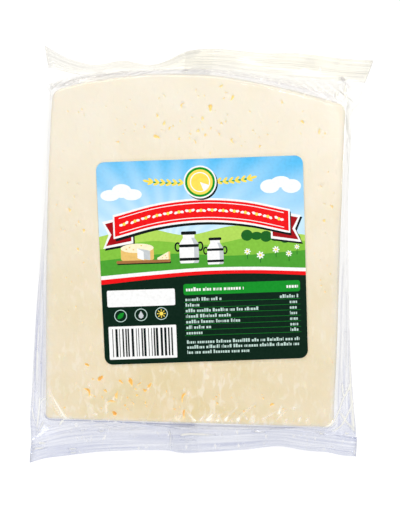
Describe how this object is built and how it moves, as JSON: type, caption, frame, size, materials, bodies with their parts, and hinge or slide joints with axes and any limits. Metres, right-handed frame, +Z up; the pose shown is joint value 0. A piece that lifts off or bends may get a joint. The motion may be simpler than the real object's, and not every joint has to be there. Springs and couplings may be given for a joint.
{
  "type": "tulum cheese",
  "caption": "Flat slab of white crumbly cheese with one curved side, sealed in a clear bag with ribbed end seals, lying flat with a square label up.",
  "frame": {"origin": "on the ground under the middle of the pack's box", "axes": "+X across the pack, +Y along it towards the seal by the slab's curved side, +Z up out of the label"},
  "size_m": [0.1328, 0.1701, 0.0187],
  "materials": {
    "wrapped_cheese": "clear glossy film tight over ivory cheese",
    "printed_paper": "printed label, satin"
  },
  "bodies": {
    "root": {"bag": "wrapped_cheese", "label": "printed_paper"}
  },
  "joints": []
}
